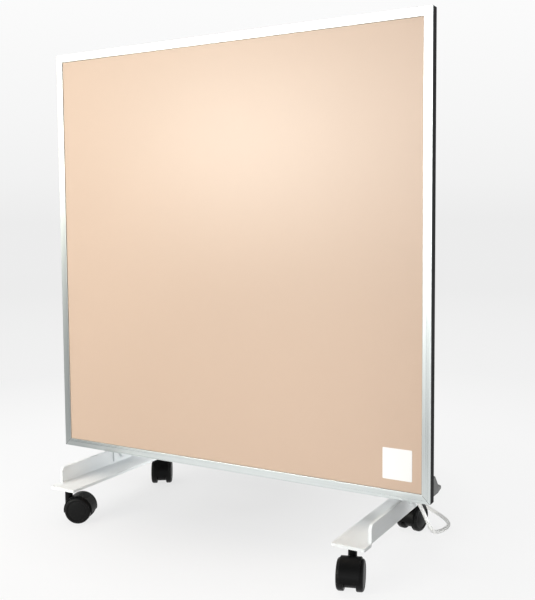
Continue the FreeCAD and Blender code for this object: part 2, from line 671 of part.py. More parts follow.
def right_upright():
    """A bent angle: one leaf on the foot's web, one flange on the casing's back."""
    x1 = WEB_IN_X
    x0 = x1 - UPRIGHT_FLANGE
    y0 = CASING_BACK_Y
    r_out = UPRIGHT_BEND_R + UPRIGHT_T
    z0 = FOOT_PLATE_Z + UPRIGHT_CLEAR
    outer = block(x0, x1, y0, y0 + UPRIGHT_LEAF, z0, UPRIGHT_TOP_Z)
    outer = outer.makeFillet(r_out, [e for e in outer.Edges if abs(e.CenterOfMass.x - x1) < 1e-6
                                     and abs(e.CenterOfMass.y - y0) < 1e-6])
    before, behind, over = x0 - CUT_PAST, y0 + UPRIGHT_LEAF + CUT_PAST, UPRIGHT_TOP_Z + CUT_PAST
    inner = block(before, x1 - UPRIGHT_T, y0 + UPRIGHT_T, behind, z0 - CUT_PAST, over)
    inner = inner.makeFillet(UPRIGHT_BEND_R, [e for e in inner.Edges
                                              if abs(e.CenterOfMass.x - x1 + UPRIGHT_T) < 1e-6
                                              and abs(e.CenterOfMass.y - y0 - UPRIGHT_T) < 1e-6])
    notch = block(before, x1 + CUT_PAST, y0 - CUT_PAST, y0 + r_out + UPRIGHT_T,
                  z0 - CUT_PAST, UPRIGHT_FLANGE_Z)
    taper = prism([V(before, behind, over), V(before, y0 + r_out + UPRIGHT_T, over),
                   V(before, behind, FOOT_TOP_Z + UPRIGHT_LEAF)], V(UPRIGHT_FLANGE + 2 * CUT_PAST, 0, 0))
    cuts = [inner, notch, taper]
    cuts += [rod(M6_R + HOLE_FIT, p, Y_AXIS, UPRIGHT_T) for p in upright_bolt_places()]
    cuts += [rod(M6_R + HOLE_FIT, p, X_AXIS * -1, FOOT_T + UPRIGHT_T) for p in web_bolt_places()]
    return outer.cut(cuts)


# Castors, modelled about the stem with the wheels trailing along +X

def stem_ys():
    return [STEM_FRONT_Y, STEM_BACK_Y]


def castor_places():
    front, rear = stem_ys()
    return {"front_left": V(-STEM_X, front, 0), "front_right": V(STEM_X, front, 0),
            "rear_left": V(-STEM_X, rear, 0), "rear_right": V(STEM_X, rear, 0)}


def axle_point(y):
    return V(TRAIL, y, WHEEL_R)


def sector(radius, half):
    """A disc about the axle, cut to the part above the fender's ends."""
    wedge = Part.makeCylinder(radius, 2 * half, axle_point(-half), Y_AXIS, 180 + 2 * FENDER_DROP_DEG)
    middle = wedge.CenterOfMass - axle_point(0)
    wedge.rotate(axle_point(0), Y_AXIS, -math.degrees(math.atan2(middle.x, middle.z)))
    return wedge


def castor_hood():
    inside = WHEEL_R + FENDER_GAP
    outside = inside + FENDER_T
    fender = sector(outside, FENDER_HALF).cut(rod(inside, axle_point(-FENDER_HALF), Y_AXIS, 2 * FENDER_HALF))
    rims = [e for e in fender.Edges
            if e.Curve.TypeId == "Part::GeomCircle" and e.Curve.Radius > inside + 1e-6]
    fender = fender.makeFillet(FENDER_T * SOCKET_SHARE, rims)
    core = sector(inside + FENDER_T / 2, BODY_HALF)
    body = rod(BODY_R, axle_point(-BODY_HALF), Y_AXIS, 2 * BODY_HALF)
    top_z = FOOT_UNDER_Z - STEM_COLLAR_T - SWIVEL_GAP
    boss = rod(BOSS_R, V(0, 0, BOSS_BOTTOM_Z), Z_AXIS, top_z - BOSS_BOTTOM_Z)
    bore = rod(STEM_R + FIT, V(0, 0, top_z - STEM_DEPTH - SWIVEL_GAP), Z_AXIS, STEM_DEPTH + SWIVEL_GAP)
    axle_hole = rod(AXLE_R, axle_point(-BODY_HALF), Y_AXIS, 2 * BODY_HALF)
    return fused(fender, core, body, boss).cut([bore, axle_hole])


def castor_stem():
    collar_z = FOOT_UNDER_Z - STEM_COLLAR_T
    pin = rod(STEM_R, V(0, 0, collar_z - SWIVEL_GAP - STEM_DEPTH), Z_AXIS, STEM_DEPTH + SWIVEL_GAP)
    collar = rod(STEM_COLLAR_R, V(0, 0, collar_z), Z_AXIS, STEM_COLLAR_T)
    spigot = rod(STEM_SPIGOT_R, V(0, 0, FOOT_UNDER_Z), Z_AXIS, STEM_SPIGOT_L)
    return fused(pin, collar, spigot)


def castor_axle():
    return rod(AXLE_R, axle_point(-AXLE_HALF), Y_AXIS, 2 * AXLE_HALF)


def castor_wheel():
    """A cup wheel: tread, recessed inner side with a hub, domed outer face."""
    rim_in = WHEEL_R - WHEEL_RIM
    web = WHEEL_WEB_Y
    bore = AXLE_R + FIT
    edge = WHEEL_EDGE_R
    shoulder = WHEEL_SHOULDER_R
    dip = 1 - math.sqrt(0.5)
    groove = WHEEL_FACE_R - WHEEL_GROOVE
    crown = WHEEL_OUT + WHEEL_DOME
    sag = WHEEL_DOME + WHEEL_GROOVE

    def at(r, y):
        return V(TRAIL + r, y, WHEEL_R)

    lines = [(at(0, AXLE_HALF + HUB_GAP), at(bore, AXLE_HALF + HUB_GAP)),
             (at(bore, AXLE_HALF + HUB_GAP), at(bore, BODY_HALF + HUB_GAP)),
             (at(bore, BODY_HALF + HUB_GAP), at(HUB_R, BODY_HALF + HUB_GAP)),
             (at(HUB_R, BODY_HALF + HUB_GAP), at(HUB_R, web)),
             (at(HUB_R, web), at(rim_in, web)),
             (at(rim_in, web), at(rim_in, WHEEL_IN)),
             (at(rim_in, WHEEL_IN), at(WHEEL_R - edge, WHEEL_IN))]
    edges = [Part.LineSegment(a, b).toShape() for a, b in lines]
    edges.append(Part.Arc(at(WHEEL_R - edge, WHEEL_IN), at(WHEEL_R - edge * dip, WHEEL_IN + edge * dip),
                          at(WHEEL_R, WHEEL_IN + edge)).toShape())
    edges.append(Part.LineSegment(at(WHEEL_R, WHEEL_IN + edge), at(WHEEL_R, WHEEL_OUT - shoulder)).toShape())
    edges.append(Part.Arc(at(WHEEL_R, WHEEL_OUT - shoulder),
                          at(WHEEL_R - shoulder * dip, WHEEL_OUT - shoulder * dip),
                          at(WHEEL_R - shoulder, WHEEL_OUT)).toShape())
    edges.append(Part.LineSegment(at(WHEEL_R - shoulder, WHEEL_OUT), at(WHEEL_FACE_R, WHEEL_OUT)).toShape())
    dish = at(groove, WHEEL_OUT - WHEEL_GROOVE)
    edges.append(Part.LineSegment(at(WHEEL_FACE_R, WHEEL_OUT), dish).toShape())
    edges.append(Part.Arc(dish, at((groove + WHEEL_CAP_R) / 2, crown - sag / 4),
                          at(WHEEL_CAP_R, crown)).toShape())
    edges.append(Part.LineSegment(at(WHEEL_CAP_R, crown), at(0, crown)).toShape())
    edges.append(Part.LineSegment(at(0, crown), at(0, AXLE_HALF + HUB_GAP)).toShape())
    return Part.Face(Part.Wire(edges)).revolve(axle_point(0), Y_AXIS, 360)


def castor_pieces():
    wheel = castor_wheel()
    other = wheel.mirror(V(0, 0, 0), Y_AXIS)
    return {"stem": castor_stem(), "hood": castor_hood(), "axle": castor_axle(),
            "wheel_a": wheel, "wheel_b": other}


# Cord, coil and plug

def cord_wire(points, name):
    """Straight runs joined by tangent arcs as large as the runs allow."""
    edges = []
    radii = []
    here = points[0]
    for before, at, after in zip(points, points[1:], points[2:]):
        come = (at - before).normalize()
        go = (after - at).normalize()
        shorter = min((at - before).Length, (after - at).Length)
        half = come.getAngle(go) / 2
        start = at - come * (ARC_SHARE * shorter)
        end = at + go * (ARC_SHARE * shorter)
        radius = ARC_SHARE * shorter / math.tan(half)
        inward = (go - come).normalize()
        middle = at + inward * (radius / math.cos(half) - radius)
        edges.append(Part.LineSegment(here, start).toShape())
        edges.append(Part.Arc(start, middle, end).toShape())
        radii.append(round(radius, 1))
        here = end
    edges.append(Part.LineSegment(here, points[-1]).toShape())
    print(name, "arc radii", radii)
    return Part.Wire(edges)


def cord_tube(points, name):
    wire = cord_wire(points, name)
    solid = tube(wire, CORD_R)
    expected = math.pi * CORD_R ** 2 * wire.Length
    print(name, "length", round(wire.Length, 1), "volume over section times length",
          round(solid.Volume / expected, 5))
    return solid


def coil_radius(turn):
    """Radius after so many turns: in over the lower layer, round in the climb, out over the upper."""
    if turn <= COIL_TURNS_A_LAYER:
        return COIL_OUT_R - COIL_PITCH * turn
    climbed = (turn - COIL_TURNS_A_LAYER) / CLIMB_TURN
    if climbed <= 1:
        return COIL_IN_R - COIL_PITCH * CLIMB_TURN / math.pi * math.sin(math.pi * climbed)
    return COIL_IN_R + COIL_PITCH * (turn - COIL_TURNS_A_LAYER - CLIMB_TURN)


def coil_height(turn):
    share = min(max((turn - COIL_TURNS_A_LAYER) / CLIMB_TURN, 0), 1)
    return COIL_LOW_Z + COIL_PITCH * share * share * (3 - 2 * share)


def coil_point(turn):
    """The winding starts at the front, heading to -X, and turns clockwise seen from above."""
    a = -math.pi / 2 - 2 * math.pi * turn
    r = coil_radius(turn)
    return V(COIL_X + r * math.cos(a), COIL_Y + r * math.sin(a), coil_height(turn))


def coil_tangent(turn, last):
    if turn <= 0 or turn >= last:
        return X_AXIS * -1
    small = 1e-4
    return (coil_point(turn + small) - coil_point(turn - small)).normalize()


def arc_between(start, corner, end):
    """The arc that leaves start towards corner and arrives at end from it."""
    middle = (start + end) * 0.5
    half = (corner - start).getAngle(end - corner) / 2
    rise = (corner - start).Length * (1 - math.cos(half)) / math.tan(half)
    return Part.Arc(start, middle + (corner - middle).normalize() * rise, end).toShape()


def biarc(p0, t0, p1, t1):
    across = p1 - p0
    both = t0 + t1
    spread = 2 * (1 - t0.dot(t1))
    lean = across.dot(both)
    reach = (-lean + math.sqrt(lean * lean + spread * across.dot(across))) / spread
    a = p0 + t0 * reach
    b = p1 - t1 * reach
    join = (a + b) * 0.5
    return [arc_between(p0, a, join), arc_between(join, b, p1)]


def cord_coil():
    last = 2 * COIL_TURNS_A_LAYER + CLIMB_TURN
    steps = round(4 * last)
    turns = [k / 4 for k in range(steps + 1)]
    first, end = coil_point(0), coil_point(last)
    edges = [Part.LineSegment(first + X_AXIS * CORD_D, first).toShape()]
    for a, b in zip(turns, turns[1:]):
        edges += biarc(coil_point(a), coil_tangent(a, last), coil_point(b), coil_tangent(b, last))
    edges.append(Part.LineSegment(end, end - X_AXIS * CORD_D).toShape())
    wire = Part.Wire(edges)
    solid = tube(wire, CORD_R)
    expected = math.pi * CORD_R ** 2 * wire.Length
    print("cord_coil length", round(wire.Length, 1), "volume over section times length",
          round(solid.Volume / expected, 5), "least gap", round(least_gap(edges), 2))
    return solid


def least_gap(edges):
    """Least room between turns, from points along the winding that are over a half turn apart."""
    points = []
    for e in edges:
        count = max(2, int(e.Length / 2))
        points += [e.valueAt(e.FirstParameter + (e.LastParameter - e.FirstParameter) * k / count)
                   for k in range(count)]
    apart = int(math.pi * COIL_IN_R / 2)
    least = math.inf
    for i, p in enumerate(points):
        for q in points[i + apart:]:
            least = min(least, (p - q).Length)
    return least - CORD_D


def cord_tie():
    """A band round the turns at the back of the coil."""
    low_r = COIL_IN_R + COIL_PITCH * (COIL_TURNS_A_LAYER % 0.5) - CORD_R - TIE_FIT
    high_r = COIL_OUT_R - COIL_PITCH / 2 + CORD_R + TIE_FIT
    z0 = COIL_LOW_Z - CORD_R - TIE_FIT
    z1 = COIL_HIGH_Z + CORD_R + TIE_FIT
    x0, x1 = COIL_X - TIE_W / 2, COIL_X + TIE_W / 2
    outer = block(x0, x1, COIL_Y + low_r - TIE_T, COIL_Y + high_r + TIE_T, z0 - TIE_T, z1 + TIE_T)
    inner = block(x0, x1, COIL_Y + low_r, COIL_Y + high_r, z0, z1)

    def rounded(shape, radius):
        return shape.makeFillet(radius, [e for e in shape.Edges if abs(e.CenterOfMass.x - COIL_X) < 1e-6])

    return rounded(outer, CORD_R * SOCKET_SHARE + TIE_T).cut(rounded(inner, CORD_R * SOCKET_SHARE))


def cord_gland():
    """A flange on the slanted face, a tapered sleeve that the cord leaves, and a neck inside the wall."""
    neck = rod(GLAND_NECK_R, GLAND_SEAT - GLAND_OUT * BOX_WALL, GLAND_OUT, BOX_WALL)
    flange = rod(GLAND_BASE_R, GLAND_SEAT, GLAND_OUT, GLAND_BASE_T)
    sleeve = Part.makeCone(GLAND_SLEEVE_R, GLAND_END_R, GLAND_REACH - GLAND_BASE_T,
                           GLAND_SEAT + GLAND_OUT * GLAND_BASE_T, GLAND_OUT)
    return fused(neck, flange, sleeve)


def slice_ring(x, width, thick):
    """A rounded rectangle across the plug's axis."""
    c = PLUG_FRAME
    slab = block(x, x + PLUG_T, c.y - width / 2, c.y + width / 2, c.z - thick / 2, c.z + thick / 2)
    long_edges = [e for e in slab.Edges if abs(e.CenterOfMass.x - x - PLUG_T / 2) < 1e-6]
    slab = slab.makeFillet(PLUG_T / 3, long_edges)
    end = [f for f in slab.Faces if abs(f.CenterOfMass.x - x) < 1e-6][0]
    return end.OuterWire


def plug_body():
    """A flat two-pin plug: grip with drawn-in flanks and a tapered strain relief."""
    relief = Part.makeCone(GLAND_END_R, PLUG_RELIEF_R, PLUG_RELIEF_L + PLUG_RELIEF_R, PLUG_FRAME, X_AXIS * -1)
    slices = [slice_ring(PLUG_RELIEF_X - along * PLUG_BODY_L, wide * PLUG_W, thick * PLUG_T)
              for along, wide, thick in PLUG_OUTLINE]
    return fused(Part.makeLoft(slices, True, True), relief)


def plug_pins():
    pins = []
    for side in (-1, 1):
        start = V(PLUG_FACE_X, PLUG_FRAME.y + side * PIN_PITCH / 2, PLUG_FRAME.z)
        pin = rod(PIN_R, start, X_AXIS * -1, PIN_L)
        tip = [e for e in pin.Edges if abs(e.CenterOfMass.x - PLUG_FACE_X + PIN_L) < 1e-6]
        pins.append(pin.makeFillet(PIN_R * SOCKET_SHARE, tip))
    return Part.makeCompound(pins)


def main():
    os.makedirs("parts", exist_ok=True)
    save("bezel_bottom", placed_rail(PANEL_W, 0, PANEL_H / 2))
    save("bezel_left", placed_rail(PANEL_H, 90, PANEL_W / 2))
    save("bezel_top", placed_rail(PANEL_W, 180, PANEL_H / 2))
    save("bezel_right", placed_rail(PANEL_H, 270, PANEL_W / 2))
    save("corner_keys", corner_keys())
    save("front_plate", front_plate())
    save("heating_cable", tube(cable_path(), CABLE_D / 2))
    save("insulation_mat", insulation_mat())
    save("rear_tray", rear_tray())
    tray_seat = V(0, TRAY_BACK_T, 0)
    save("tray_screws", Part.makeCompound([
        screw(p + tray_seat, Y_AXIS * -1, M4_R, M4_LENGTH, M4_HEAD_R, M4_HEAD_H)
        for p in key_screw_places()]))
    save("rear_casing", rear_casing())
    casing_seat = V(0, CASING_T, 0)
    tapper_length = CASING_T + TRAY_BACK_T
    save("casing_screws", Part.makeCompound([screw(p + casing_seat, Y_AXIS * -1, TAPPER_R, tapper_length,
                                                   TAPPER_HEAD_R, TAPPER_HEAD_H)
                                             for p in casing_screw_places()]))
    save("thermal_cutout", thermal_cutout())
    save("terminal_box", terminal_box())
    box_seat = V(0, BOX_WALL, 0)
    save("box_screws", Part.makeCompound([screw(p + box_seat, Y_AXIS * -1, TAPPER_R, BOX_WALL + TRAY_BACK_T,
                                                TAPPER_HEAD_R, TAPPER_HEAD_H) for p in box_screw_places()]))
    save("terminal_block", terminal_block())
    save("cord_gland", cord_gland())
    save("right_foot", right_foot())
    save("left_foot", mirrored(right_foot()))
    save("right_upright", right_upright())
    save("left_upright", mirrored(right_upright()))
    flange_seat = V(0, UPRIGHT_T, 0)
    bolts = [m6_bolt(p + flange_seat, Y_AXIS * -1) for p in both_sides(upright_bolt_places())]
    nuts = [m6_nut(p - casing_seat, Y_AXIS * -1) for p in both_sides(upright_bolt_places())]
    grip = V(FOOT_T + UPRIGHT_T, 0, 0)
    for p in web_bolt_places():
        bolts += [m6_bolt(p, X_AXIS * -1), mirrored(m6_bolt(p, X_AXIS * -1))]
        nuts += [m6_nut(p - grip, X_AXIS * -1), mirrored(m6_nut(p - grip, X_AXIS * -1))]
    save("m6_bolts", Part.makeCompound(bolts))
    save("m6_nuts", Part.makeCompound(nuts))
    for piece, shape in castor_pieces().items():
        for corner, place in castor_places().items():
            turned = shape.copy()
            turned.rotate(V(0, 0, 0), Z_AXIS, HEADINGS[corner])
            turned.translate(place)
            save("castor_" + corner + "_" + piece, turned)
    save("cord_lead", cord_tube(CORD_ROUTE, "cord_lead"))
    save("cord_coil", cord_coil())
    save("cord_tail", cord_tube(TAIL_ROUTE, "cord_tail"))
    save("cord_tie", cord_tie())
    save("plug_body", plug_body())
    save("plug_pins", plug_pins())


main()
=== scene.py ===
import json
import math

import bmesh
import bpy
from mathutils import Matrix, Vector


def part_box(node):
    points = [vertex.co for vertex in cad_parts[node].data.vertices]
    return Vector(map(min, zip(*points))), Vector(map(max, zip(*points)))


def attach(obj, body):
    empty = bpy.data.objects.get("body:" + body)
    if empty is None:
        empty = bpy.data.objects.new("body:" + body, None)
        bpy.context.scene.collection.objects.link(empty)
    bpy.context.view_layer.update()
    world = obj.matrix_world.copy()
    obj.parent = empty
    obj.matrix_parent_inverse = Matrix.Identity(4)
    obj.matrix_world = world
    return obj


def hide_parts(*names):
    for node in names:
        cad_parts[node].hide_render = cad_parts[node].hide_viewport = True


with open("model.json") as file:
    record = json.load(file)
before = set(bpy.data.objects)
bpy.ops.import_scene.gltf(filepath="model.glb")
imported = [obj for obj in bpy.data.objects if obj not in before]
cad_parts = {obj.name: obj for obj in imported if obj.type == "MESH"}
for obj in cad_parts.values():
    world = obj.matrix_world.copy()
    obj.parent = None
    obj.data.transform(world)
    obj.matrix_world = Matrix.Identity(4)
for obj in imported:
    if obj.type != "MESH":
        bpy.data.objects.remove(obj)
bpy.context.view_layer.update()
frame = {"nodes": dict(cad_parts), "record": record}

MM = 0.001
BODY = "heater"
IMAGE_W, IMAGE_H = 535, 600

# Camera, fitted to the photograph: place in millimetres, angles in degrees, lens in pixels
CAMERA_AT = (641.29, -981.42, 434.35)
CAMERA_YAW, CAMERA_PITCH, CAMERA_ROLL = 28.94, -3.96, -0.297
FOCAL_PX = 834.90
CENTRE_PX = (295.80, 279.10)
SENSOR = 24.0
CLIP_START = 0.01

# Cord, in millimetres
CORD_D = 5.2
LEAD_ROUTE = [(264, 22.3, 74.4), (263.6, 47.7, 49.4), (262.2, 73.5, 22.4), (261.8, 95, 3), (271.8, 127, 3),
              (265, 149, 3), (246, 169, 3), (217, 193, 3.2), (186, 217.5, 3.9)]
TAIL_ROUTE = [(128, 217.5, 7.6), (108, 222.5, 6.25), (88, 228.5, 6.85), (66, 228.5, 6.85)]
COIL_AT = (150.0, 255.0)
COIL_OUT_R, COIL_PITCH, COIL_LOW_Z = 37.5, 5.7, 3.9
COIL_TURNS_A_LAYER, CLIMB_TURN = 2.75, 0.5
POINTS_A_TURN = 24
CORD_CURVE_ORDER, STEPS_A_POINT, CORD_ROUND_STEPS = 3, 6, 5

# Blank sticker on the plate, in millimetres
STICKER_MID = (256.4, 131.5)
STICKER_W, STICKER_H, STICKER_T, STICKER_R = 39.4, 39.8, 0.25, 1.2
STEPS_A_CORNER = 6

# Bead of painted shade round the plate, in the corner at the frame's lip, in millimetres
CORNER_SHADE_W, CORNER_SHADE_H = 0.6, 0.9

# Dark joint lines across the frame's mitred corners, in millimetres
MITRE_W, MITRE_T, MITRE_FROM_EDGE = 0.4, 0.04, 0.6

# Part of a noise's range over which a colour goes from its dark to its light tint
TINT_FROM, TINT_TO = 0.3, 0.7

# Coats: dark and light tint, roughness, scale of the grain, strength of its relief
GLOSS_DRIFT, RELIEF_DEPTH = 0.05, 0.0004
COATS = {
    "graphite_steel": dict(dark=(0.020, 0.020, 0.021), light=(0.030, 0.030, 0.031),
                           rough=0.6, grain=1500, relief=0.25, specular=0.06),
    "white_steel": dict(dark=(0.825, 0.86, 0.872), light=(0.875, 0.905, 0.912),
                        rough=0.42, grain=1300, relief=0.12),
    "castor_plastic": dict(dark=(0.0036, 0.0038, 0.0039), light=(0.0060, 0.0062, 0.0063),
                           rough=0.40, grain=2200, relief=0.15, specular=0.09),
    "wheel_plastic": dict(dark=(0.005, 0.0052, 0.0053), light=(0.009, 0.0092, 0.0094),
                          rough=0.36, grain=1800, relief=0.2, specular=0.11),
    "plated_steel": dict(dark=(0.50, 0.50, 0.47), light=(0.66, 0.66, 0.62),
                         rough=0.3, grain=900, relief=0.08, metallic=1.0, cloud=220),
    "cable_silicone": dict(dark=(0.38, 0.05, 0.035), light=(0.46, 0.06, 0.04),
                           rough=0.55, grain=900, relief=0.1),
    "mat_fibre": dict(dark=(0.70, 0.68, 0.60), light=(0.82, 0.80, 0.72),
                      rough=0.85, grain=700, relief=0.6, cloud=60),
    "grey_plastic": dict(dark=(0.20, 0.205, 0.205), light=(0.26, 0.265, 0.265),
                         rough=0.5, grain=1600, relief=0.25),
    "white_plastic": dict(dark=(0.74, 0.74, 0.72), light=(0.80, 0.80, 0.78),
                          rough=0.5, grain=1500, relief=0.1),
    "white_pvc": dict(dark=(0.89, 0.89, 0.87), light=(0.92, 0.92, 0.90),
                      rough=0.4, grain=1100, relief=0.08, cloud=30),
    "tie_plastic": dict(dark=(0.022, 0.022, 0.022), light=(0.034, 0.034, 0.034),
                        rough=0.5, grain=1400, relief=0.2),
    # Painted shade: the dark bead in the corner between the frame's lip and the plate
    "corner_shade": dict(dark=(0.22, 0.20, 0.17), light=(0.28, 0.25, 0.22),
                 rough=0.7, grain=800, relief=0.2),
    "mitre_gap": dict(dark=(0.13, 0.135, 0.135), light=(0.17, 0.175, 0.175),
                      rough=0.6, grain=900, relief=0.1),
    "sticker": dict(dark=(0.90, 0.90, 0.895), light=(0.93, 0.93, 0.925),
                    rough=0.3, grain=1500, relief=0.03),
}

# Brushed aluminium: stretch of its lines by axis, two tints; the upright rails' tints are darker than the
# level rails': painted shade
ALONG_X, ALONG_Z = (0.03, 12, 12), (12, 12, 0.03)
BRUSHED = {
    "bezel_along_x_lit": dict(stretch=ALONG_X, dark=(0.645, 0.687, 0.682), light=(0.769, 0.811, 0.806)),
    # Painted shade: the upright rails' copy of the aluminium is darker than the level rails'
    "bezel_along_z_shaded": dict(stretch=ALONG_Z, dark=(0.600, 0.640, 0.636), light=(0.716, 0.756, 0.751)),
    "key_aluminium": dict(stretch=ALONG_X, dark=(0.5, 0.5, 0.5), light=(0.62, 0.62, 0.62)),
}

# Glaze of the heating plate: two tints
GLAZE = dict(dark=(0.577, 0.427, 0.326), light=(0.602, 0.448, 0.343))

# Rails that are brushed along their own length; the upright rails take the darker copy, which is painted
# shade
RAIL_LOOKS = {"bezel_bottom": "bezel_along_x_lit", "bezel_top": "bezel_along_x_lit",
              "bezel_left": "bezel_along_z_shaded", "bezel_right": "bezel_along_z_shaded"}

# Floor: a disc round a painted shadow under the heater, in metres; its grey by distance from its middle:
# painted shadow near the heater, then the background's grey far away
PAINTED_SHADOW_AT = (-0.06, 0.12, 0)
FLOOR_R, FLOOR_SIDES, FLOOR_REACH = 6, 96, 4.0
FLOOR_SHADOW_GREYS = ((0.06, 0.79), (0.2, 0.87), (0.29, 0.94), (0.38, 0.975),
               (0.6, 0.965), (1.2, 0.88), (4.0, 0.84))
FLOOR_PAINT = 0.85

# Share of that painted grey, over distance: the rest is paint that takes the heater's real shadow
FLOOR_FADE = {"From Min": 0.3, "From Max": 1.2, "To Min": 0.86, "To Max": 1.0}

# Background: grey by the height of the view direction, and the strength of its soft light
SKY_GREYS = ((0.0, 0.842), (0.05, 0.885), (0.12, 0.92), (0.24, 0.965), (0.40, 0.95), (0.58, 0.10))
SKY_LIGHT = 0.32

# Cards for gloss alone, a sloping one on the left and a flat one in front: grey, corners in metres
CARDS = {
    "left_card": (0.27, ((-0.40, -0.145, 0.004), (-0.46, -0.53, 0.02),
                         (-1.45, -1.95, 0.41), (-2.5, -1.2, 0.41))),
    "front_card": (0.40, ((0.02, -0.43, 0.004), (0.26, -0.43, 0.004),
                          (0.22, -0.85, 0.004), (-0.08, -0.85, 0.004))),
}

# Soft lamps: place, target and size in metres, power in watts, spread in degrees
LAMPS = {
    "wide": dict(place=(-1.35, -1.75, 0.95), target=(-0.1, 0, 0.45), size=(1.3, 0.9), power=2.6,
                 colour=(1, 0.9, 0.52)),
    "key": dict(place=(-0.98, -1.70, 0.74), target=(0, 0, 0.45), size=(0.55, 0.4), power=18.2,
                colour=(1, 0.985, 0.92)),
    "front": dict(place=(-0.35, -1.8, 0.76), target=(0, 0, 0.2), size=(0.6, 0.78), power=9.3),
    "top": dict(place=(-1.1, 0.14, 2.2), target=(0, 0, 0.2), size=(1.6, 1.6), power=25),
    "low": dict(place=(0.34, -1.3, 0.14), target=(0.17, 0, 0.13), size=(0.2, 0.2), power=0.036,
                colour=(0.95, 0.95, 1), spread=24),
    "cord_spot": dict(place=(0.95, -0.45, 0.11), target=(0.268, 0.08, 0.045), size=(0.04, 0.04),
                      power=0.016, spread=8),
    "under": dict(place=(0.08, 0.16, 0.10), target=(-0.25, 0.05, 0.06), size=(0.1, 0.06), power=0.048,
                  spread=50),
}


# Camera

def make_camera():
    yaw, pitch, roll = (math.radians(a) for a in (CAMERA_YAW, CAMERA_PITCH, CAMERA_ROLL))
    ahead = Vector((-math.sin(yaw) * math.cos(pitch), math.cos(yaw) * math.cos(pitch), math.sin(pitch)))
    level = Vector((math.cos(yaw), math.sin(yaw), 0))
    upright = level.cross(ahead)
    right = math.cos(roll) * level + math.sin(roll) * upright
    up = math.cos(roll) * upright - math.sin(roll) * level
    data = bpy.data.cameras.new("camera")
    data.sensor_fit = "VERTICAL"
    data.sensor_height = SENSOR
    data.lens = FOCAL_PX / IMAGE_H * SENSOR
    data.shift_x = (IMAGE_W / 2 - CENTRE_PX[0]) / IMAGE_H
    data.shift_y = (CENTRE_PX[1] - IMAGE_H / 2) / IMAGE_H
    data.clip_start = CLIP_START
    camera = bpy.data.objects.new("camera", data)
    turn = Matrix((right, up, -ahead)).transposed().to_4x4()
    camera.matrix_world = Matrix.Translation(Vector(CAMERA_AT) * MM) @ turn
    bpy.context.collection.objects.link(camera)
    bpy.context.scene.camera = camera


# Materials

class Shader:
    """A node material with one Principled surface and helpers that add to it."""

    def __init__(self, name):
        self.material = bpy.data.materials.new(name)
        self.material.use_nodes = True
        self.nodes = self.material.node_tree.nodes
        self.links = self.material.node_tree.links
        self.surface = self.nodes["Principled BSDF"]
        self.place = self.nodes.new("ShaderNodeTexCoord").outputs["Object"]

    def set(self, **values):
        for name, value in values.items():
            self.surface.inputs[name.replace("_", " ")].default_value = value

    def noise(self, scale, detail, stretch=(1, 1, 1)):
        mapping = self.nodes.new("ShaderNodeMapping")
        mapping.inputs["Scale"].default_value = stretch
        texture = self.nodes.new("ShaderNodeTexNoise")
        texture.inputs["Scale"].default_value = scale
        texture.inputs["Detail"].default_value = detail
        self.links.new(self.place, mapping.inputs["Vector"])
        self.links.new(mapping.outputs["Vector"], texture.inputs["Vector"])
        return texture.outputs["Fac"]

    def tint(self, factor, dark, light):
        """Base colour between two tints."""
        ramp = self.nodes.new("ShaderNodeValToRGB")
        ramp.color_ramp.elements[0].position = TINT_FROM
        ramp.color_ramp.elements[1].position = TINT_TO
        ramp.color_ramp.elements[0].color = (*dark, 1)
        ramp.color_ramp.elements[1].color = (*light, 1)
        self.links.new(factor, ramp.inputs["Fac"])
        self.links.new(ramp.outputs["Color"], self.surface.inputs["Base Color"])

    def gloss(self, factor, low, high):
        """Roughness between two values."""
        span = self.nodes.new("ShaderNodeMapRange")
        span.inputs["To Min"].default_value = low
        span.inputs["To Max"].default_value = high
        self.links.new(factor, span.inputs["Value"])
        self.links.new(span.outputs["Result"], self.surface.inputs["Roughness"])

    def bump(self, factor, strength, distance):
        node = self.nodes.new("ShaderNodeBump")
        node.inputs["Strength"].default_value = strength
        node.inputs["Distance"].default_value = distance
        self.links.new(factor, node.inputs["Height"])
        self.links.new(node.outputs["Normal"], self.surface.inputs["Normal"])


def coated(name, dark, light, rough, grain, relief, metallic=0.0, cloud=9.0, specular=0.5):
    """Paint, moulded plastic or plated metal: cloudy tint, fine grain in gloss and relief."""
    shader = Shader(name)
    shader.set(Metallic=metallic, Specular_IOR_Level=specular)
    shader.tint(shader.noise(cloud, detail=4.0), dark, light)
    shader.gloss(shader.noise(grain, detail=2.0), low=rough - GLOSS_DRIFT, high=rough + GLOSS_DRIFT)
    shader.bump(shader.noise(grain, detail=2.0), strength=relief, distance=RELIEF_DEPTH)
    return shader.material


def brushed(name, stretch, dark, light):
    """Satin anodised aluminium with its lines drawn along the rail."""
    shader = Shader(name)
    shader.set(Metallic=1.0)
    lines = shader.noise(scale=60.0, detail=3.0, stretch=stretch)
    shader.tint(lines, dark, light)
    shader.gloss(lines, low=0.24, high=0.34)
    shader.bump(lines, strength=0.05, distance=0.0002)
    return shader.material


def glazed_plate():
    """Satin glaze: a fine speckle, very slow tint changes and a faint orange peel."""
    shader = Shader("glazed_plate")
    shader.set(Specular_IOR_Level=0.5)
    shader.tint(shader.noise(scale=2.2, detail=2.0), **GLAZE)
    shader.gloss(shader.noise(scale=900.0, detail=2.0), low=0.34, high=0.41)
    shader.bump(shader.noise(scale=420.0, detail=2.0), strength=0.05, distance=0.0002)
    return shader.material


def make_materials():
    materials = {name: coated(name, **coat) for name, coat in COATS.items()}
    materials.update((name, brushed(name, **metal)) for name, metal in BRUSHED.items())
    materials["heating_plate"] = glazed_plate()
    return materials


def paint(obj, material):
    obj.data.materials.clear()
    obj.data.materials.append(material)


def dress_nodes(materials):
    for part in frame["record"]["subparts"]:
        name = part["node"]
        paint(frame["nodes"][name], materials[RAIL_LOOKS.get(name, part["material_slot"])])


# Cord

